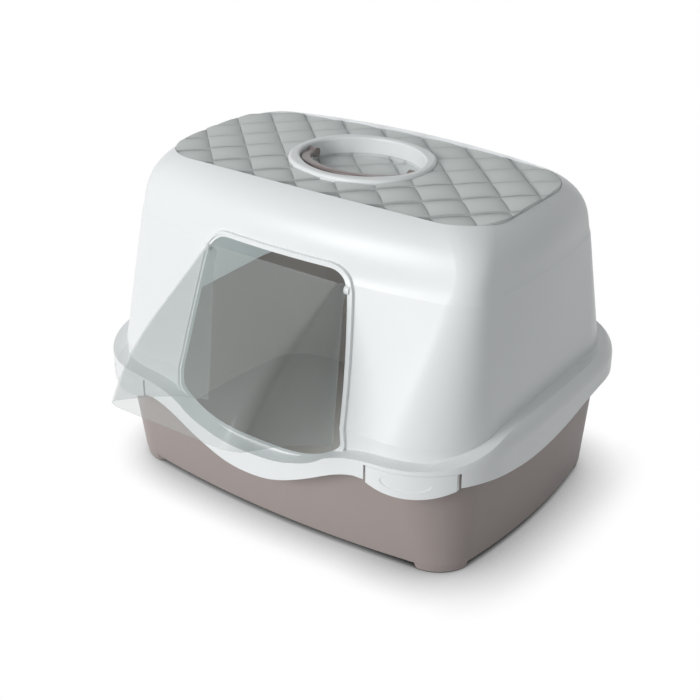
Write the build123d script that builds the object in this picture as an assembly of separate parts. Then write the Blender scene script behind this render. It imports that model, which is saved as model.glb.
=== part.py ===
from build123d import *
import math
import os

# Hooded litter box. Millimetres; +X right, +Y to the back, +Z up, feet on z = 0.

# ---- footprint --------------------------------------------------------------
HOOD_FOOT_HALF_X = 261.0     # outline of the hood's walls where they meet the rim, at its corners
HOOD_FOOT_HALF_Y = 204.0
RIM_HALF_X = HOOD_FOOT_HALF_X + 10.5
RIM_HALF_Y = HOOD_FOOT_HALF_Y + 14.5
TRAY_BASE_HALF_X = RIM_HALF_X - 29.5   # outline of the underside
TRAY_BASE_HALF_Y = RIM_HALF_Y - 51.9

# ---- tray -------------------------------------------------------------------
FOOT_HEIGHT = 9.0            # clear height of the tray's underside
TRAY_WALL = 3.0
TRAY_BASE_CORNER = 52.0
TRAY_BASE_BOW_X = 18.0       # how far each side stands out at its middle
TRAY_BASE_BOW_Y = 21.8
TRAY_EDGE_ROUND = 3.0
TRAY_DRAFT_TOP = 165.0       # the wall is drafted up to here and upright above
FOOT_RADIUS = 33.0
FOOT_TAPER = 14.0
FOOT_INSET_X = 26.0          # foot centre, in from the underside's corner
FOOT_INSET_Y = 23.0
FOOT_ROUND = 3.0

# ---- hood rim ---------------------------------------------------------------
RIM_CORNER = 110.0
RIM_BOW_X = 12.0
RIM_BOW_Y = 9.0
RIM_WALL = 2.6
TRAY_INSET = 16.0            # the tray's wall stands this far inside the rim
SEAT_GAP = 0.3               # between the rim's ledge and the tray's edge
CREASE_FRONT = 158.0         # top edge of the rim's upright band
CREASE_REAR = 164.0
SHOULDER_OUT = 16.0          # rounded shoulder above the crease, inwards and up
SHOULDER_UP = 20.0
RIM_FRONT_RUN = 120.0        # the crease reaches its front height this far behind the front corners
RIM_SLOPE = (CREASE_REAR - CREASE_FRONT) / (2 * RIM_HALF_Y - RIM_FRONT_RUN)
SKIRT_BOTTOM_FRONT = 136.0
SKIRT_BOTTOM_REAR = 144.0
SKIRT_SAG = 11.0             # how far the skirt's lower edge hangs down at the middle of each end
TRAY_DIP_SAG = 6.0           # the tray's edge lies this much further down in the dip under the doorway
DIP_LEDGE = 113.0            # the ledge and the skirt dip under the doorway
DIP_SKIRT = 85.0

# ---- hood walls and roof ----------------------------------------------------
HOOD_WALL = 3.0
WALL_START = 60.0            # the walls are drawn from here; the ledge cuts them off
FOOT_LEVEL = 176.0
HOOD_FOOT_CORNER = 90.0
PANEL_CROWN = 408.0          # height of the quilted panel at its middle
ROLL_LEVEL = PANEL_CROWN - 54          # height at which the walls start to roll over
HOOD_ROLL_HALF_X = HOOD_FOOT_HALF_X - 21.8
HOOD_ROLL_HALF_Y = HOOD_FOOT_HALF_Y - 73.4
HOOD_ROLL_CORNER = 35.0
HOOD_ROLL_BOW_X = 17.3
HOOD_ROLL_BOW_Y = 31.0
ROLL_RADIUS = 60.0
ROLL_TOP_CORNER = 56.0
ROLL_CORNER_PULL = 3.5       # the corners lean in further than the sides as they roll over

# ---- quilted top panel ------------------------------------------------------
PANEL_HALF_X = HOOD_ROLL_HALF_X - 14.4
PANEL_HALF_Y = HOOD_ROLL_HALF_Y - 26.9
PANEL_CORNER = 61.0
PANEL_BOW_X = 7.6
PANEL_BOW_Y = 17.4
PANEL_FALL_X = 3.3           # fall from the middle to each end
PANEL_FALL_Y = 3.9
PANEL_SEAT = PANEL_CROWN - 10          # floor of the recess in the roof
PANEL_GAP = 0.6
QUILT_STEP_X = 61.8          # diamond, point to point
QUILT_STEP_Y = 61.1
QUILT_OFFSET_X = 6.8
QUILT_OFFSET_Y = -6.7
PILLOW_RISE = 2.0            # how far a pillow stands above the middle of its seams

# ---- handle and its well ----------------------------------------------------
WELL_HALF_X = 66.0           # outline of the well at its corners; the sides stand out by the bows
WELL_HALF_Y = 57.0
WELL_CORNER = 60.0
WELL_BOW_X = 24.0
WELL_BOW_Y = 21.0
WELL_LIP = 11.0              # width of the well's rim
WELL_LIP_RISE = 2.5          # how far the rim stands above the panel's crown
WELL_FLOOR = PANEL_CROWN - 24
WELL_PILLOW = 5.0            # top of the middle pillow above the well's floor
WELL_FALL = 1.2              # fall of the quilted floor from its middle to its edge
WELL_WALL = 2.4
WELL_GAP = 0.4
WELL_LIP_ROUND = 4.0
WELL_INNER_ROUND = 3.0
HANDLE_PIVOT_X = 77.0        # outer face of each pivot eye
HANDLE_HALF_X = 58.0         # outline of the bail at its corners
HANDLE_HALF_Y = 43.0
HANDLE_CORNER = 45.0
HANDLE_BOW_Y = 16.0
HANDLE_PIVOT_Z = PANEL_CROWN - 7
HANDLE_BAND = 10.0
HANDLE_THICK = 7.0
HANDLE_EYE_RADIUS = 6.0
HANDLE_PIN_RADIUS = 2.5
HANDLE_PIN_LENGTH = 4.0
HANDLE_ROUND = 2.5

# ---- doorway and visor ------------------------------------------------------
DOOR_TOP = 343.0
DOOR_SILL = 116.5
DOOR_TOP_CORNER = 28.0
DOOR_LOW_CORNER = 14.0
DOOR_HALF_TOP = 98.5
DOOR_HALF_LOW = 119.5
DOOR_LOW = 153.0             # height of the doorway's lower corners
LIP_WIDTH = 6.5
LIP_PROUD = 4.0
LIP_STEP = 2.4               # the inner half of the lip stands lower
VISOR_HALF = 94.5
VISOR_WALL = 1.8
VISOR_PIVOT_Y = -HOOD_ROLL_HALF_Y - 34.4
VISOR_PIVOT_Z = 324.0
VISOR_PIN_RADIUS = 2.5
VISOR_PIN_LENGTH = 5.0
PIN_CLEARANCE = 0.05
PIVOT_BOSS_X = 97.3
PIVOT_BOSS_LENGTH = 6.2
PIVOT_BOSS_RADIUS = 5.5
VISOR_START_Y = VISOR_PIVOT_Y - 4      # where the line of the plate starts
VISOR_START_Z = 338.0
VISOR_LEAN = 27.2            # degrees below level of the plate's straight run
VISOR_STRAIGHT = 118.0
VISOR_RADIUS = 192.0
VISOR_TURN = 34.2            # degrees that the plate curves down
VISOR_BEND_TOP = 3.0
VISOR_BEND_LOW = 22.0

# ---- latches ----------------------------------------------------------------
LATCH_INNER_X = RIM_HALF_X - 105.5
LATCH_OUTER_X = RIM_HALF_X - 14.5
LATCH_DROP = 12.0            # how far the tongue hangs below the skirt
SLIT = 3.0
LATCH_BELOW_CREASE = 2.0
THUMB_HALF_X = 29.0
THUMB_HALF_Z = 10.0
THUMB_DEPTH = 0.8

WORK = 700.0                 # larger than the whole box, for cutting blocks
os.makedirs("parts", exist_ok=True)


# ---- outlines ---------------------------------------------------------------
def outline(half_x, half_y, corner, bow_x=0.0, bow_y=0.0):
    """A rectangle with rounded corners whose sides stand out by a bow at their middle."""
    corners = [(-half_x, -half_y), (half_x, -half_y), (half_x, half_y), (-half_x, half_y)]
    middles = [(0, -half_y - bow_y), (half_x + bow_x, 0), (0, half_y + bow_y), (-half_x - bow_x, 0)]
    edges = []
    for i, middle in enumerate(middles):
        start = corners[i]
        end = corners[(i + 1) % 4]
        bow = (bow_y, bow_x)[i % 2]
        edges.append(ThreePointArc(start, middle, end) if bow else Line(start, end))
    return fillet(make_face(edges).vertices(), corner)


def rim_outline(inset=0.0):
    return outline(RIM_HALF_X - inset, RIM_HALF_Y - inset, RIM_CORNER - inset, RIM_BOW_X, RIM_BOW_Y)


def between(low, high, share):
    return low + (high - low) * share


def smooth_profile(points, floor):
    """The area under a smooth line through the points, down to the floor."""
    line = Spline(*points)
    first, last = points[0], points[-1]
    sides = Polyline(last, (last[0], floor), (first[0], floor), first)
    return make_face([line, *sides.edges()])


def mirrored(points):
    """Points given for x >= 0, repeated on the other side of the middle."""
    return [(-x, z) for x, z in reversed(points) if x > 0] + points


# ---- the wavy parting line between hood and tray ----------------------------
def along_y(profile, y_from, y_to):
    """A profile drawn in x and z, run from one y to another."""
    face = Plane(origin=(0, y_from, 0), x_dir=(1, 0, 0), z_dir=(0, -1, 0)) * profile
    return extrude(face, amount=y_from - y_to)


def along_x(profile, half_length):
    """A profile drawn in y and z, run to both sides."""
    face = Plane(origin=(0, 0, 0), x_dir=(0, 1, 0), z_dir=(1, 0, 0)) * profile
    return extrude(face, amount=half_length, both=True)


def front_part(profile, half_width):
    """What the front view's profile takes away from a body, over the front of the rim only."""
    back = -RIM_HALF_Y + RIM_FRONT_RUN
    room = Pos(0, back - WORK / 2, WORK / 2) * Box(2 * half_width, WORK, WORK)
    return room - along_y(profile, back + 1, -WORK)


def below_ledge(sag=0.0):
    """Everything below the top of the rim's ledge, which may lie lower in the dip under the doorway."""
    rise = CREASE_REAR - CREASE_FRONT
    ends = [(-WORK / 2, CREASE_FRONT + 1.5)] + [(share * RIM_HALF_Y, height) for share, height in (
        (-1.15, CREASE_FRONT + 1.5), (-0.9, CREASE_FRONT + 2.5), (-0.73, CREASE_FRONT + 8),
        (-0.55, CREASE_FRONT + 14.5), (-0.18, CREASE_FRONT + 19), (0.28, CREASE_FRONT + 0.45 * rise + 18),
        (0.64, CREASE_FRONT + 0.8 * rise + 17), (1.0, CREASE_REAR + 17))] + [(WORK / 2, CREASE_REAR + 18)]
    front = mirrored([
        (0, DIP_LEDGE - sag), (33, DIP_LEDGE + 1.5 - sag), (63, DIP_LEDGE + 8 - sag),
        (93, DIP_LEDGE + 22 - sag), (118, CREASE_FRONT - 11 - 0.8 * sag), (139, CREASE_FRONT - 4 - 0.3 * sag),
        (160, CREASE_FRONT - 0.5), (RIM_HALF_X - 71.5, CREASE_FRONT + 1.5),
        (RIM_HALF_X - 39.5, CREASE_FRONT + 3), (RIM_HALF_X - 19.5, CREASE_FRONT + 14),
        (RIM_HALF_X + 4.5, CREASE_FRONT + 40),
    ])
    return along_x(smooth_profile(ends, 0), WORK / 2) - front_part(smooth_profile(front, -10), RIM_HALF_X + 4.5)


def below_skirt():
    """Everything below the lower edge of the rim, which hangs down at the ends and under the doorway."""
    low, high = SKIRT_BOTTOM_FRONT, SKIRT_BOTTOM_REAR
    ends = [(-WORK / 2, low)] + [(share * RIM_HALF_Y, height) for share, height in (
        (-0.86, low), (-0.65, low - 0.2 * SKIRT_SAG), (-0.49, low - 0.65 * SKIRT_SAG),
        (-0.3, low - SKIRT_SAG), (-0.1, low - 0.9 * SKIRT_SAG), (0.13, low - 0.35 * SKIRT_SAG),
        (0.29, low + 2), (0.5, high - 1), (0.73, high))] + [(WORK / 2, high)]
    front = mirrored([
        (0, DIP_SKIRT), (32, DIP_SKIRT + 3), (60, DIP_SKIRT + 12), (93, DIP_SKIRT + 27),
        (116, low - 12), (139, low - 3), (160, low + 0.5),
    ])
    return along_x(smooth_profile(ends, 0), WORK / 2) - front_part(smooth_profile(front, -10), 160)


def rim_body(inset=0.0, drop=0.0):
    """Outer form of the rim: an upright band, and above its crease a rounded shoulder.

    The crease climbs from the front to the back, so the shoulder's sections are tilted."""
    slope = math.atan(RIM_SLOPE)
    hinge_y = -RIM_HALF_Y + RIM_FRONT_RUN
    sections = []
    for turn in (0, 20, 40, 60, 80):
        angle = math.radians(turn)
        narrower = inset + SHOULDER_OUT * (1 - math.cos(angle))
        height = CREASE_FRONT - drop + SHOULDER_UP * math.sin(angle)
        tilt = Plane(origin=(0, 0, height - hinge_y * math.tan(slope)), x_dir=(1, 0, 0),
                     z_dir=(0, -math.sin(slope), math.cos(slope)))
        sections.append(tilt * rim_outline(narrower))
    shoulder = loft(sections)
    base = rim_outline(inset)
    band = loft([base, sections[0]], ruled=True)
    return band + shoulder


LEDGE = below_ledge()
SKIRT = below_skirt()


# ---- hood: walls, roof, rim, doorway and bores ------------------------------
def hood_section(height):
    """Outline sizes of the walls at a height between the foot and the roll."""
    share = (height - FOOT_LEVEL) / (ROLL_LEVEL - FOOT_LEVEL)
    return [
        between(HOOD_FOOT_HALF_X, HOOD_ROLL_HALF_X, share), between(HOOD_FOOT_HALF_Y, HOOD_ROLL_HALF_Y, share),
        between(HOOD_FOOT_CORNER, HOOD_ROLL_CORNER, share), HOOD_ROLL_BOW_X * share, HOOD_ROLL_BOW_Y * share,
    ]


def hood_form(inset=0.0):
    """The hood as a solid body, or with an inset the room inside it."""
    foot = outline(HOOD_FOOT_HALF_X - inset, HOOD_FOOT_HALF_Y - inset, HOOD_FOOT_CORNER - inset)
    walls = [Pos(0, 0, FOOT_LEVEL) * foot]
    for height in (ROLL_LEVEL - 24, ROLL_LEVEL - 4):
        half_x, half_y, corner, bow_x, bow_y = hood_section(height)
        walls.append(Pos(0, 0, height) * outline(half_x - inset, half_y - inset, corner - inset, bow_x, bow_y))
    roll = walls[1:]
    for turn in (22, 40, 55, 68, 80):
        angle = math.radians(turn)
        rolled = ROLL_RADIUS * (1 - math.cos(angle))
        inwards = inset * math.cos(angle)
        share_x = 1 - rolled / HOOD_ROLL_HALF_X
        middle_y = (HOOD_ROLL_HALF_Y + HOOD_ROLL_BOW_Y) * (1 - rolled / HOOD_ROLL_HALF_Y)
        half_y = HOOD_ROLL_HALF_Y * (1 - rolled / HOOD_ROLL_HALF_Y) - ROLL_CORNER_PULL
        corner = between(HOOD_ROLL_CORNER, ROLL_TOP_CORNER, turn / 80)
        face = outline(HOOD_ROLL_HALF_X * share_x - inwards, half_y - inwards, corner - inwards,
                       HOOD_ROLL_BOW_X * share_x, middle_y - half_y)
        roll.append(Pos(0, 0, ROLL_LEVEL + (ROLL_RADIUS - inset) * math.sin(angle)) * face)
    base = extrude(Pos(0, 0, WALL_START) * foot, amount=FOOT_LEVEL - WALL_START)
    return base + loft(walls[:2], ruled=True) + loft(roll)


def doorway(grow=0.0):
    """Front view of the doorway: a shield shape with a shallow rounded sill."""
    low = (DOOR_HALF_LOW + grow, DOOR_LOW - 0.5 * grow)
    top_z = DOOR_TOP + grow
    top = (DOOR_HALF_TOP - 2 + grow, top_z)
    waist = (DOOR_HALF_TOP + 10.5 + grow, 262)
    right = Spline(low, waist, top)
    left = Spline((-top[0], top[1]), (-waist[0], waist[1]), (-low[0], low[1]))
    sill = Spline((-low[0], low[1]), (-70 - 0.5 * grow, DOOR_SILL + 6.5 - 0.9 * grow), (0, DOOR_SILL - grow),
                  (70 + 0.5 * grow, DOOR_SILL + 6.5 - 0.9 * grow), low)
    lintel = Line(top, (-top[0], top[1]))
    face = make_face([right, lintel, left, sill])
    corners = face.vertices().sort_by(Axis.Y)
    face = fillet(corners[-2:], DOOR_TOP_CORNER + grow)
    return fillet(face.vertices().sort_by(Axis.Y).filter_by(lambda v: abs(v.Y - low[1]) < 0.1), DOOR_LOW_CORNER + grow)


def through_front(profile):
    return along_y(profile, -HOOD_ROLL_HALF_Y + 40, -RIM_HALF_Y - 60)


def panel_outline(grow=0.0):
    return outline(PANEL_HALF_X + grow, PANEL_HALF_Y + grow, PANEL_CORNER + grow, PANEL_BOW_X, PANEL_BOW_Y)


def well_outline(grow=0.0):
    return outline(WELL_HALF_X + grow, WELL_HALF_Y + grow, WELL_CORNER + grow, WELL_BOW_X, WELL_BOW_Y)


def crease_height(y):
    """Height of the rim's crease, which climbs from the front to the back."""
    return CREASE_FRONT + (y + RIM_HALF_Y - RIM_FRONT_RUN) * RIM_SLOPE


def latch_box(side_x, side_y, margin, top_gap):
    """The block of space that a latch tongue takes up in the rim, with a margin beside it."""
    top = crease_height(0.9 * side_y * RIM_HALF_Y) - LATCH_BELOW_CREASE - top_gap
    width = LATCH_OUTER_X - LATCH_INNER_X + 2 * margin
    centre_x = side_x * (LATCH_OUTER_X + LATCH_INNER_X) / 2
    return Pos(centre_x, side_y * RIM_HALF_Y, top / 2) * Box(width, 180, top)


def make_hood():
    below = Pos(0, 0, -RIM_WALL) * LEDGE
    recess = extrude(Pos(0, 0, PANEL_SEAT) * panel_outline(PANEL_GAP), amount=60)
    roof = extrude(Pos(0, 0, PANEL_SEAT - HOOD_WALL) * panel_outline(PANEL_GAP + HOOD_WALL), amount=60)
    room = hood_form(HOOD_WALL) - roof
    shell = hood_form() - room - below
    rim = (rim_body() & LEDGE) - SKIRT
    rim = rim - (rim_body(RIM_WALL, RIM_WALL) & below) - room
    for side_x in (-1, 1):
        for side_y in (-1, 1):
            rim -= latch_box(side_x, side_y, SLIT, 0)
    lip = through_front(doorway(LIP_WIDTH)) & hood_form(-LIP_PROUD)
    step = through_front(doorway(LIP_WIDTH / 2)) - hood_form(-LIP_STEP)
    lip = lip - step - below - room
    door = through_front(doorway())
    body = (shell - door) + (lip - door) + (rim - door)
    for side_x in (-1, 1):
        boss = Pos(side_x * (PIVOT_BOSS_X + PIVOT_BOSS_LENGTH / 2), VISOR_PIVOT_Y, VISOR_PIVOT_Z)
        body += boss * Rot(0, 90, 0) * Cylinder(PIVOT_BOSS_RADIUS, PIVOT_BOSS_LENGTH)
    body -= recess
    body -= extrude(Pos(0, 0, PANEL_SEAT - 20) * well_outline(WELL_WALL + WELL_GAP - WELL_LIP), amount=40)
    pin_hole = Pos(0, VISOR_PIVOT_Y, VISOR_PIVOT_Z) * Rot(0, 90, 0) * Cylinder(
        VISOR_PIN_RADIUS + PIN_CLEARANCE, 2 * (VISOR_HALF + VISOR_PIN_LENGTH + 1))
    return body - pin_hole


# ---- tray -------------------------------------------------------------------
def tray_form(inset, floor):
    """The tray as a solid body, or with an inset and a raised floor the room inside it."""
    base = Pos(0, 0, floor) * outline(TRAY_BASE_HALF_X - inset, TRAY_BASE_HALF_Y - inset,
                                      TRAY_BASE_CORNER - inset, TRAY_BASE_BOW_X, TRAY_BASE_BOW_Y)
    brim = Pos(0, 0, TRAY_DRAFT_TOP) * rim_outline(TRAY_INSET + inset)
    return loft([base, brim], ruled=True) + extrude(brim, amount=80)


def make_tray():
    seat = Pos(0, 0, -RIM_WALL - SEAT_GAP) * below_ledge(TRAY_DIP_SAG)
    outer = tray_form(0, FOOT_HEIGHT)
    bottom = outer.edges().filter_by(lambda e: abs(e.center().Z - FOOT_HEIGHT) < 0.01)
    underside = outline(TRAY_BASE_HALF_X, TRAY_BASE_HALF_Y, TRAY_BASE_CORNER, TRAY_BASE_BOW_X, TRAY_BASE_BOW_Y)
    outer = fillet(bottom, TRAY_EDGE_ROUND)
    outer = outer & rim_body(RIM_WALL + SEAT_GAP, RIM_WALL + SEAT_GAP) & seat
    for side_x in (-1, 1):
        for side_y in (-1, 1):
            corner = (side_x * (TRAY_BASE_HALF_X - FOOT_INSET_X), side_y * (TRAY_BASE_HALF_Y - FOOT_INSET_Y))
            pad = underside & Pos(*corner) * Circle(FOOT_RADIUS)
            foot = extrude(Pos(0, 0, FOOT_HEIGHT + 2) * pad, amount=-FOOT_HEIGHT - 2, taper=FOOT_TAPER)
            foot = fillet(foot.edges().group_by(Axis.Z)[0], FOOT_ROUND)
            outer += foot
    return outer - tray_form(TRAY_WALL, FOOT_HEIGHT + TRAY_WALL)


# ---- quilted top panel ------------------------------------------------------
def crown(x, y):
    return PANEL_CROWN - PANEL_FALL_X * (x / PANEL_HALF_X) ** 2 - PANEL_FALL_Y * (y / PANEL_HALF_Y) ** 2


def pillows(reach_x, reach_y, height, floor):
    """Quilted cushions, each a shallow ball cap over one diamond, side by side over an area."""
    half_x, half_y = QUILT_STEP_X / 2, QUILT_STEP_Y / 2
    diamond = make_face(Polyline((half_x, 0), (0, half_y), (-half_x, 0), (0, -half_y), close=True).edges())
    radius = (half_x * half_y) / (2 * PILLOW_RISE)
    cells = []
    columns = math.ceil(reach_x / half_x) + 2
    rows = math.ceil(reach_y / half_y) + 2
    for column in range(-columns, columns + 1):
        for row in range(-rows, rows + 1):
            x = QUILT_OFFSET_X + column * half_x
            y = QUILT_OFFSET_Y + row * half_y
            outside = abs(x) > reach_x + half_x or abs(y) > reach_y + half_y
            if (column + row) % 2 == 0 or outside:
                continue
            top = height(x, y)
            block = extrude(Pos(x, y, floor) * diamond, amount=top - floor + 1)
            cells.append(block & Pos(x, y, top - radius) * Sphere(radius))
    return cells[0].fuse(*cells[1:])


def make_top_panel():
    reach_x, reach_y = PANEL_HALF_X + PANEL_BOW_X, PANEL_HALF_Y + PANEL_BOW_Y
    quilt = pillows(reach_x, reach_y, crown, PANEL_SEAT)
    plate = extrude(Pos(0, 0, PANEL_SEAT) * panel_outline(), amount=30)
    return quilt & plate - extrude(Pos(0, 0, PANEL_SEAT - 5) * well_outline(WELL_GAP), amount=40)


# ---- handle well and carrying handle ----------------------------------------
def well_crown(x, y):
    return WELL_FLOOR + WELL_PILLOW - WELL_FALL * ((x / WELL_HALF_X) ** 2 + (y / WELL_HALF_Y) ** 2)


def make_handle_well():
    top = PANEL_CROWN + WELL_LIP_RISE
    ring = extrude(Pos(0, 0, PANEL_SEAT) * well_outline(), amount=top - PANEL_SEAT)
    ring = fillet(ring.edges().group_by(Axis.Z)[-1], WELL_LIP_ROUND)
    bowl = extrude(Pos(0, 0, WELL_FLOOR - WELL_WALL) * well_outline(WELL_WALL - WELL_LIP),
                   amount=PANEL_SEAT - WELL_FLOOR + WELL_WALL)
    well = ring + bowl
    well -= extrude(Pos(0, 0, WELL_FLOOR) * well_outline(-WELL_LIP), amount=top - WELL_FLOOR + 1)
    flat = well.faces().filter_by(Axis.Z).sort_by(Axis.Z)[-1]
    well = fillet(flat.inner_wires()[0].edges(), WELL_INNER_ROUND)
    floor = pillows(WELL_HALF_X + WELL_BOW_X - WELL_LIP, WELL_HALF_Y + WELL_BOW_Y - WELL_LIP, well_crown,
                    WELL_FLOOR - 1)
    well += floor & extrude(Pos(0, 0, WELL_FLOOR - 1) * well_outline(1 - WELL_LIP), amount=10)
    pin_hole = Pos(0, 0, HANDLE_PIVOT_Z) * Rot(0, 90, 0) * Cylinder(
        HANDLE_PIN_RADIUS + PIN_CLEARANCE, 2 * (HANDLE_PIVOT_X + HANDLE_PIN_LENGTH + 1))
    return well - pin_hole


def make_carry_handle():
    low = HANDLE_PIVOT_Z - HANDLE_THICK / 2
    bow_x = HANDLE_PIVOT_X - HANDLE_HALF_X
    outer = outline(HANDLE_HALF_X, HANDLE_HALF_Y, HANDLE_CORNER, bow_x, HANDLE_BOW_Y)
    inner = outline(HANDLE_HALF_X - HANDLE_BAND, HANDLE_HALF_Y - HANDLE_BAND, HANDLE_CORNER - HANDLE_BAND,
                    bow_x, HANDLE_BOW_Y)
    bail = extrude(Pos(0, 0, low) * (outer - inner), amount=HANDLE_THICK)
    bail &= Pos(0, -WORK / 2, 0) * Box(WORK, WORK, 2 * WORK)
    bail = fillet(bail.edges().filter_by(GeomType.CIRCLE), HANDLE_ROUND)
    for side in (-1, 1):
        across = Rot(0, 90, 0)
        eye = Pos(side * (HANDLE_PIVOT_X - HANDLE_BAND / 2), 0, HANDLE_PIVOT_Z) * across
        bail += eye * Cylinder(HANDLE_EYE_RADIUS, HANDLE_BAND)
        pin = Pos(side * (HANDLE_PIVOT_X + HANDLE_PIN_LENGTH / 2), 0, HANDLE_PIVOT_Z) * across
        bail += pin * Cylinder(HANDLE_PIN_RADIUS, HANDLE_PIN_LENGTH)
    return bail


# ---- visor ------------------------------------------------------------------
def visor_form(inset=0.0):
    """The swept body of the visor: a plate that curves down, with its side bends opening out."""
    lean = math.radians(VISOR_LEAN)
    along = Vector(0, -math.cos(lean), -math.sin(lean))
    sections = []
    for share in (0.0, 0.25, 0.5, 0.67, 0.84, 1.0):
        run, drop = visor_line(share)
        origin = Vector(0, VISOR_START_Y, VISOR_START_Z) + along * run
        plane = Plane(origin=origin, x_dir=(1, 0, 0), z_dir=along)
        half = VISOR_HALF - inset
        bend = max(between(VISOR_BEND_TOP, VISOR_BEND_LOW, share) - inset, 0.8)
        top = -drop - inset
        face = make_face(Polyline((-half, -300), (half, -300), (half, top), (-half, top), close=True).edges())
        corners = face.vertices().sort_by(Axis.Y)[-2:]
        sections.append(plane * fillet(corners, bend))
    return loft(sections)


def visor_line(share):
    """Distance along the visor's first, straight run and drop below it, at a share of its length."""
    arc = math.radians(VISOR_TURN)
    length = VISOR_STRAIGHT + VISOR_RADIUS * arc
    past = share * length - VISOR_STRAIGHT
    if past <= 0:
        return share * length, 0.0
    angle = past / VISOR_RADIUS
    return VISOR_STRAIGHT + VISOR_RADIUS * math.sin(angle), VISOR_RADIUS * (1 - math.cos(angle))


def make_visor():
    hollow = visor_form() - visor_form(VISOR_WALL)
    rear = (VISOR_PIVOT_Y - 11, 360)
    cheek = Spline((VISOR_PIVOT_Y - 23, 134), (-248, 166), (-312, 192), (-352, 206))
    side = [
        Polyline(rear, (VISOR_PIVOT_Y - 11, VISOR_PIVOT_Z + 9), (VISOR_PIVOT_Y + 5, VISOR_PIVOT_Z + 4),
                 (VISOR_PIVOT_Y + 5, VISOR_PIVOT_Z - 4), (VISOR_PIVOT_Y - 2, VISOR_PIVOT_Z - 20),
                 (VISOR_PIVOT_Y - 23, 134)),
        cheek,
        Polyline((-352, 206), (-420, 206), (-420, 360), rear),
    ]
    profile = make_face([edge for wire in side for edge in wire.edges()])
    visor = hollow & along_x(profile, VISOR_HALF + 5)
    for side_x in (-1, 1):
        length = VISOR_PIN_LENGTH + VISOR_WALL
        pin = Pos(side_x * (VISOR_HALF - VISOR_WALL + length / 2), VISOR_PIVOT_Y, VISOR_PIVOT_Z)
        visor += pin * Rot(0, 90, 0) * Cylinder(VISOR_PIN_RADIUS, length)
    return visor


# ---- latches ----------------------------------------------------------------
def make_latch(side_x, side_y):
    """A springy tongue cut out of the rim, with a shallow thumb oval and a rounded lower edge."""
    bottom = SKIRT_BOTTOM_REAR if side_y > 0 else SKIRT_BOTTOM_FRONT
    band = (rim_body() - rim_body(RIM_WALL)) & latch_box(side_x, side_y, 0, SEAT_GAP)
    inner, outer = LATCH_INNER_X, LATCH_OUTER_X
    points = [
        (inner - 4, bottom - 2), (inner + 0.2 * (outer - inner), bottom - 0.75 * LATCH_DROP),
        (inner + 0.6 * (outer - inner), bottom - LATCH_DROP), (outer - 9, bottom - 0.6 * LATCH_DROP),
        (outer + 4, bottom - 1),
    ]
    if side_x < 0:
        points = [(-x, z) for x, z in reversed(points)]
    block = along_y(smooth_profile(points, 0), WORK / 2, -WORK / 2)
    tongue = band - block
    level = bottom + 6
    middle = Vector(side_x * (inner + outer) / 2, side_y * (RIM_HALF_Y - 5), level)
    facing = Plane(origin=middle, x_dir=(1, side_x * -side_y * 0.47, 0), z_dir=(side_x * 0.43, side_y * 0.9, 0))
    oval = extrude(facing * Ellipse(THUMB_HALF_X, THUMB_HALF_Z), amount=40, both=True)
    return tongue - (oval - rim_body(THUMB_DEPTH))


nodes = {
    "tray": make_tray(),
    "hood": make_hood(),
    "top_panel": make_top_panel(),
    "handle_well": make_handle_well(),
    "carry_handle": make_carry_handle(),
    "visor": make_visor(),
    "latch_front_right": make_latch(1, -1),
    "latch_front_left": make_latch(-1, -1),
    "latch_rear_right": make_latch(1, 1),
    "latch_rear_left": make_latch(-1, 1),
}
for name, solid in nodes.items():
    export_step(solid, f"parts/{name}.step")
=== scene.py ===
import math

import bmesh
import bpy
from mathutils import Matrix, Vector


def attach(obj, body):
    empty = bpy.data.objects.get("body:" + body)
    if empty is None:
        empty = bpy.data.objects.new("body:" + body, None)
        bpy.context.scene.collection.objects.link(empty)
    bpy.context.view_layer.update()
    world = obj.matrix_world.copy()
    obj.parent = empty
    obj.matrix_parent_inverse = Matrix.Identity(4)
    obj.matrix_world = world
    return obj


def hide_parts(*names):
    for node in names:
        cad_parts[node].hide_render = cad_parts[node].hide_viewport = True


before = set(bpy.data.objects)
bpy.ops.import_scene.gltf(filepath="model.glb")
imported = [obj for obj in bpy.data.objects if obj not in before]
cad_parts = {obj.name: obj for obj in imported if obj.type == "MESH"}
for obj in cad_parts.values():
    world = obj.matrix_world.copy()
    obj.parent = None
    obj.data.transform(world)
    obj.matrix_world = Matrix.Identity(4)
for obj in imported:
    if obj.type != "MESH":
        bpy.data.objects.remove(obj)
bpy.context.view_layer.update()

# ---- camera -----------------------------------------------------------------
# Stands off the box's right front corner and looks down on the roof, from about
# one and three quarter metres away.
CAMERA_AT = (0.8927, -1.2492, 0.9380)
CAMERA_DOWN = 27.10          # degrees below level
CAMERA_TURN = 36.09          # degrees to the left of straight ahead
CAMERA_LENS = 69.87          # millimetres, on a sensor of SENSOR_WIDTH
SENSOR_WIDTH = 36.0
FAR_LIMIT = 30.0

camera = bpy.data.objects.new("camera", bpy.data.cameras.new("camera"))
camera.data.lens = CAMERA_LENS
camera.data.sensor_width = SENSOR_WIDTH
camera.data.clip_end = FAR_LIMIT
camera.location = CAMERA_AT
camera.rotation_euler = (math.radians(90 - CAMERA_DOWN), 0, math.radians(CAMERA_TURN))
bpy.context.scene.collection.objects.link(camera)
bpy.context.scene.camera = camera
bpy.context.scene.view_settings.view_transform = "Standard"


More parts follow.
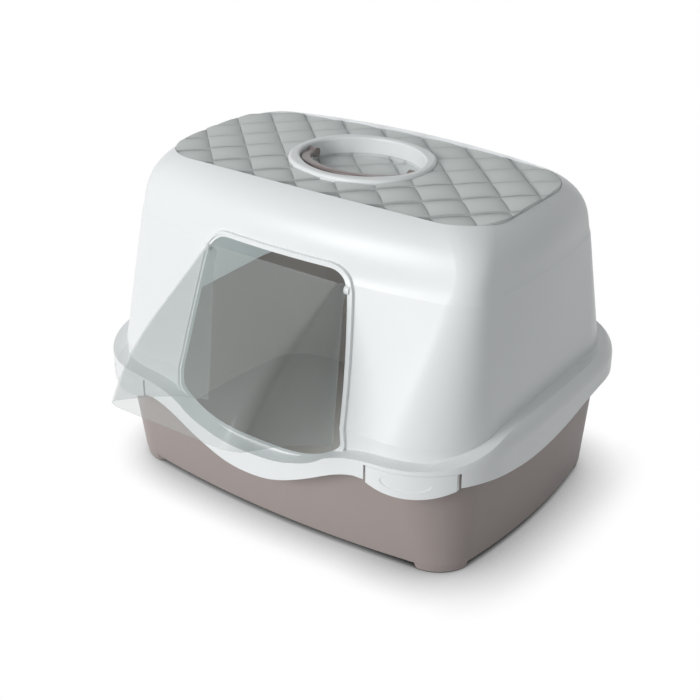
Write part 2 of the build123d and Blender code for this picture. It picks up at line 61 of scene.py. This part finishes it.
# ---- room -------------------------------------------------------------------
# A white room: pure white where it is seen, straight or in a reflection, and
# dimmer for the stray light that it sheds on the box.
class Wire:
    """One output of a shader node. Arithmetic on it adds the Math nodes."""

    def __init__(self, tree, socket):
        self.tree = tree
        self.socket = socket

    def node(self, kind, settings=None, inputs=None, output=0):
        """Adds a node of a kind, with its settings first and then the values or wires of its inputs."""
        made = self.tree.nodes.new(kind)
        for name, value in (settings or {}).items():
            if name == "stops":
                for spot, (place, shade) in zip(made.color_ramp.elements, value):
                    spot.position = place
                    spot.color = (shade, shade, shade, 1)
            else:
                setattr(made, name, value)
        for name, value in (inputs or {}).items():
            if isinstance(value, Wire):
                self.tree.links.new(value.socket, made.inputs[name])
            else:
                made.inputs[name].default_value = value
        return Wire(self.tree, made.outputs[output])

    def maths(self, operation, first, second):
        return self.node("ShaderNodeMath", {"operation": operation}, {0: first, 1: second})

    def __add__(self, other):
        return self.maths("ADD", self, other)

    def __radd__(self, other):
        return self.maths("ADD", other, self)

    def __sub__(self, other):
        return self.maths("SUBTRACT", self, other)

    def __rsub__(self, other):
        return self.maths("SUBTRACT", other, self)

    def __mul__(self, other):
        return self.maths("MULTIPLY", self, other)

    def __rmul__(self, other):
        return self.maths("MULTIPLY", other, self)


def seen_directly(wire):
    """1 for rays from the eye, a reflection or through clear plastic, 0 for stray light."""
    rays = wire.tree.nodes.new("ShaderNodeLightPath")
    eye, gloss, through = (Wire(wire.tree, rays.outputs[name]) for name in (
        "Is Camera Ray", "Is Glossy Ray", "Is Transmission Ray"))
    return wire.maths("MAXIMUM", wire.maths("MAXIMUM", eye, gloss), through)


ROOM_LIGHT = 0.32
ROOM_COLOUR = (0.97, 1.0, 1.0, 1)

world = bpy.data.worlds.new("studio")
bpy.context.scene.world = world
world.use_nodes = True
world.node_tree.nodes.clear()
air = Wire(world.node_tree, None)
room = air.node("ShaderNodeBackground", inputs={"Color": ROOM_COLOUR, "Strength": ROOM_LIGHT})
white = air.node("ShaderNodeBackground", inputs={"Color": (1, 1, 1, 1), "Strength": 1.0})
mixed = air.node("ShaderNodeMixShader", inputs={0: seen_directly(air), 1: room, 2: white})
world_out = world.node_tree.nodes.new("ShaderNodeOutputWorld")
world.node_tree.links.new(mixed.socket, world_out.inputs["Surface"])


# ---- floor ------------------------------------------------------------------
# Matt white paper that runs on past the view. Seen directly it glows pure white, but for a painted shadow
# where the box stands: darker where the box hides the sky close by, as ambient occlusion measures it, and
# painted darker still towards +x, away from the softbox.
def new_shader(name):
    """A blank material and the wire of its object coordinates, from which the rest is made."""
    material = bpy.data.materials.new(name)
    material.use_nodes = True
    tree = material.node_tree
    tree.nodes.clear()
    place = Wire(tree, None).node("ShaderNodeTexCoord", output="Object")
    return material, place


def to_surface(wire):
    out = wire.tree.nodes.new("ShaderNodeOutputMaterial")
    wire.tree.links.new(wire.socket, out.inputs["Surface"])


FLOOR_SIZE = 16
PAPER_COLOUR = (0.80, 0.80, 0.79, 1)
PAINTED_SHADOW_REACH = 0.09          # how far off the box still shades the paper
PAINTED_SHADOW_STOPS = ((0.10, 0.02), (0.80, 1.0))   # share of open sky, and the brightness there
PAINTED_DEEPER_FROM_X = 0.12         # the shadow deepens between these two
PAINTED_DEEPER_UP_TO_X = 0.30

bpy.ops.mesh.primitive_plane_add(size=FLOOR_SIZE)
floor = bpy.context.object
floor.name = "floor"
paper, place = new_shader("white_paper")
matt = place.node("ShaderNodeBsdfDiffuse", inputs={"Color": PAPER_COLOUR})
across = place.node("ShaderNodeSeparateXYZ", inputs={"Vector": place}, output="X")
# painted darkening of the shadow, which grows with x between these two
right = place.maths("MINIMUM", place.maths("MAXIMUM", across, PAINTED_DEEPER_FROM_X), PAINTED_DEEPER_UP_TO_X)
open_sky = place.node("ShaderNodeAmbientOcclusion", {"samples": 16}, {"Distance": PAINTED_SHADOW_REACH}, output="AO")
painted_shadow_fac = open_sky - (right - PAINTED_DEEPER_FROM_X)
# the painted shadow: the paper's brightness where it is seen directly
shade = place.node("ShaderNodeValToRGB", {"stops": PAINTED_SHADOW_STOPS}, {"Fac": painted_shadow_fac})
glow = place.node("ShaderNodeEmission", inputs={"Color": shade, "Strength": 1.0})
to_surface(place.node("ShaderNodeMixShader", inputs={0: seen_directly(place), 1: matt, 2: glow}))
floor.data.materials.append(paper)

# ---- lamps ------------------------------------------------------------------
# One big round softbox to the front left. A small lamp in the tray stands for the
# daylight that thin walls let in, and can't be seen in a reflection.
SOFTBOX_AT = (-1.6, -5.4, 2.35)
SOFTBOX_AIM = (0, 0, 0.2)
SOFTBOX_SIZE = 3.2
SOFTBOX_POWER = 226
INSIDE_AT = (0.10, -0.03, 0.10)
INSIDE_SIZE = 0.05
INSIDE_POWER = 1.0
INSIDE_COLOUR = (0.80, 0.97, 0.96)

softbox = bpy.data.objects.new("softbox", bpy.data.lights.new("softbox", "AREA"))
softbox.data.shape = "DISK"
softbox.data.size = SOFTBOX_SIZE
softbox.data.energy = SOFTBOX_POWER
softbox.location = SOFTBOX_AT
softbox.rotation_euler = (Vector(SOFTBOX_AIM) - Vector(SOFTBOX_AT)).to_track_quat("-Z", "Y").to_euler()
bpy.context.scene.collection.objects.link(softbox)

inside = bpy.data.objects.new("inside", bpy.data.lights.new("inside", "POINT"))
inside.data.energy = INSIDE_POWER
inside.data.color = INSIDE_COLOUR
inside.data.shadow_soft_size = INSIDE_SIZE
inside.location = INSIDE_AT
inside.visible_glossy = False
bpy.context.scene.collection.objects.link(inside)

# ---- tray -------------------------------------------------------------------
# A deep tray of injection-moulded polypropylene, on four feet moulded in one with
# it: satin, with the mould's fine grain and slight changes where the melt flowed.
FLOW_SCALE = 5.0             # cells of the melt's flow marks, per metre
GRAIN_SCALE = 900.0
GRAIN_DEPTH = 0.0004
FLOW_ROUGH = 0.04            # how far the roughness goes up and down with the flow marks
FLOW_TINT = 0.015            # the same for the colour, as a share
PLASTIC_IOR = 1.49
TAUPE = (0.36, 0.308, 0.296)
TAUPE_ROUGH = 0.45
TAUPE_GLOSS = 0.3


def satin(name, colour, rough, grain=0.06, gloss=0.5, pattern=None):
    """A satin plastic. A pattern takes the place, colour and height, and gives the new colour and height."""
    material, place = new_shader(name)
    flow = place.node("ShaderNodeTexNoise", inputs={"Vector": place, "Scale": FLOW_SCALE, "Detail": 2.0})
    fine = place.node("ShaderNodeTexNoise", inputs={"Vector": place, "Scale": GRAIN_SCALE, "Detail": 1.0})
    tint = place.node("ShaderNodeMixRGB", inputs={
        "Fac": flow,
        "Color1": tuple(part * (1 - FLOW_TINT) for part in colour) + (1,),
        "Color2": tuple(min(1.0, part * (1 + FLOW_TINT)) for part in colour) + (1,),
    })
    height = fine * (GRAIN_DEPTH * grain)
    if pattern:
        tint, height = pattern(place, tint, height)
    bump = place.node("ShaderNodeBump", inputs={"Height": height, "Strength": 1.0, "Distance": 1.0})
    to_surface(place.node("ShaderNodeBsdfPrincipled", inputs={
        "Base Color": tint, "Roughness": rough - FLOW_ROUGH + 2 * FLOW_ROUGH * flow, "Normal": bump,
        "IOR": PLASTIC_IOR, "Specular IOR Level": gloss,
    }))
    return material


def clothe(node, material):
    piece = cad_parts[node]
    piece.data.materials.clear()
    piece.data.materials.append(material)


clothe("tray", satin("taupe_plastic", TAUPE, TAUPE_ROUGH, gloss=TAUPE_GLOSS))

# ---- hood and latches -------------------------------------------------------
# One white moulding: walls, rolled roof edge, rim and the lip of the doorway. The
# four springy latch tongues are cut out of its rim, in the same plastic.
WHITE = (0.84, 0.855, 0.865)
WHITE_ROUGH = 0.36

white_plastic = satin("white_plastic", WHITE, WHITE_ROUGH)
for node in ("hood", "latch_front_right", "latch_front_left", "latch_rear_right", "latch_rear_left"):
    clothe(node, white_plastic)

# ---- quilted top panel ------------------------------------------------------
# A pale grey panel let into the roof, moulded as a quilt of diamond pillows. A bump puffs the pillows up a
# little further, and painted shade darkens the colour along their seams, where the creases fall in shade.
QUILT_AT = (0.0068, -0.0067)         # middle of one pillow
QUILT_HALF = (0.0309, 0.03055)       # half a diamond, point to middle
QUILT_PUFF = 0.003
PUFF_ROUND = 0.5                     # the lower, the flatter a pillow's top
SEAM_NARROW = 0.35                   # the lower, the narrower a seam
# share of the colour left in a seam's painted shade
PAINTED_SEAM_SHADE = 0.78
QUILT_GREY = (0.70, 0.735, 0.725)
QUILT_ROUGH = 0.5
QUILT_GRAIN = 0.12
ABOVE_ALL = 0.5


def quilting(level):
    """The quilt, with painted shade in its seams, as a pattern for satin, on what lies below a level."""

    def pattern(place, tint, height):
        x, y, z = (place.node("ShaderNodeSeparateXYZ", inputs={"Vector": place}, output=way) for way in "XYZ")
        across = (x - QUILT_AT[0]) * (1 / QUILT_HALF[0])
        along = (y - QUILT_AT[1]) * (1 / QUILT_HALF[1])
        lifts = []
        for way in (across + along, across - along):
            off = way.maths("PINGPONG", way, 1.0)
            lifts.append(off * (2 - off))
        puff = lifts[0] * lifts[1]
        quilted = z.maths("LESS_THAN", z, level)
        raised = height + puff.maths("POWER", puff, PUFF_ROUND) * QUILT_PUFF * quilted
        painted_seam_shade = puff.node("ShaderNodeMixRGB", inputs={
            "Fac": puff.maths("POWER", puff, SEAM_NARROW),
            "Color1": tuple(part * PAINTED_SEAM_SHADE for part in QUILT_GREY) + (1,),
            "Color2": QUILT_GREY + (1,),
        })
        mixed_tint = place.node("ShaderNodeMixRGB", inputs={"Fac": quilted, "Color1": tint, "Color2": painted_seam_shade})
        return mixed_tint, raised

    return pattern


clothe("top_panel", satin("quilt_plastic", QUILT_GREY, QUILT_ROUGH, QUILT_GRAIN, pattern=quilting(ABOVE_ALL)))

# ---- handle well ------------------------------------------------------------
# An oval ring and bowl in the hood's white, set through the panel. Its floor carries the quilt on, in the
# panel's grey, with the same painted shade in its seams.
WELL_QUILT_LEVEL = 0.3905            # the floor's pillows lie below it, the ring above

clothe("handle_well", satin("well_plastic", WHITE, WHITE_ROUGH, pattern=quilting(WELL_QUILT_LEVEL)))

# ---- carrying handle --------------------------------------------------------
# A moulded bail that clips into the well by a pin at each end. It doesn't lie
# quite flat: its grip rests a little raised, so that a finger gets under it.
BAIL_BROWN = (0.25, 0.205, 0.20)
BAIL_ROUGH = 0.28
BAIL_RAISE = math.radians(4.5)
BAIL_PIVOT_Z = 0.401
BAIL_CREASE = math.radians(35)       # edges sharper than this stay crisp
SAME_POINT = 1e-6

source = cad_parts["carry_handle"]
bail = source.copy()
bail.data = source.data.copy()
bail.name = "bail"
bpy.context.scene.collection.objects.link(bail)
shape = bmesh.new()
shape.from_mesh(bail.data)
bmesh.ops.remove_doubles(shape, verts=shape.verts, dist=SAME_POINT)
shape.to_mesh(bail.data)
shape.free()
for corner in bail.data.vertices:
    y, z = corner.co.y, corner.co.z - BAIL_PIVOT_Z
    corner.co.y = y * math.cos(BAIL_RAISE) + z * math.sin(BAIL_RAISE)
    corner.co.z = BAIL_PIVOT_Z - y * math.sin(BAIL_RAISE) + z * math.cos(BAIL_RAISE)
bail.data.materials.clear()
bail.data.materials.append(satin("bail_plastic", BAIL_BROWN, BAIL_ROUGH))
bpy.ops.object.select_all(action="DESELECT")
bail.select_set(True)
bpy.context.view_layer.objects.active = bail
bpy.ops.object.shade_smooth_by_angle(angle=BAIL_CREASE)
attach(bail, "handle_body")
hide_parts("carry_handle")

# ---- visor ------------------------------------------------------------------
# Clear plastic with a faint smoky tint, bent down at the front and at both sides,
# on a pin at each top corner. Its skin is a little hazy, and shines at a slant.
CLEAR_COLOUR = (0.905, 0.91, 0.91, 1)
HAZE_COLOUR = (0.92, 0.965, 0.955, 1)
HAZE = 0.11                          # share of the light that each face scatters, seen square on
SLANT_HAZE = 0.7                     # what is added to it, seen edge on
SLANT_POWER = 5.0
VISOR_ROUGH = 0.12

clear, place = new_shader("clear_plastic")
through = place.node("ShaderNodeBsdfTransparent", inputs={"Color": CLEAR_COLOUR})
film = place.node("ShaderNodeBsdfPrincipled", inputs={
    "Base Color": HAZE_COLOUR, "Roughness": VISOR_ROUGH, "IOR": PLASTIC_IOR})
slant = place.node("ShaderNodeLayerWeight", inputs={"Blend": 0.5}, output="Facing")
share = place.maths("POWER", slant, SLANT_POWER) * SLANT_HAZE + HAZE
to_surface(place.node("ShaderNodeMixShader", inputs={0: share, 1: through, 2: film}))
clothe("visor", clear)
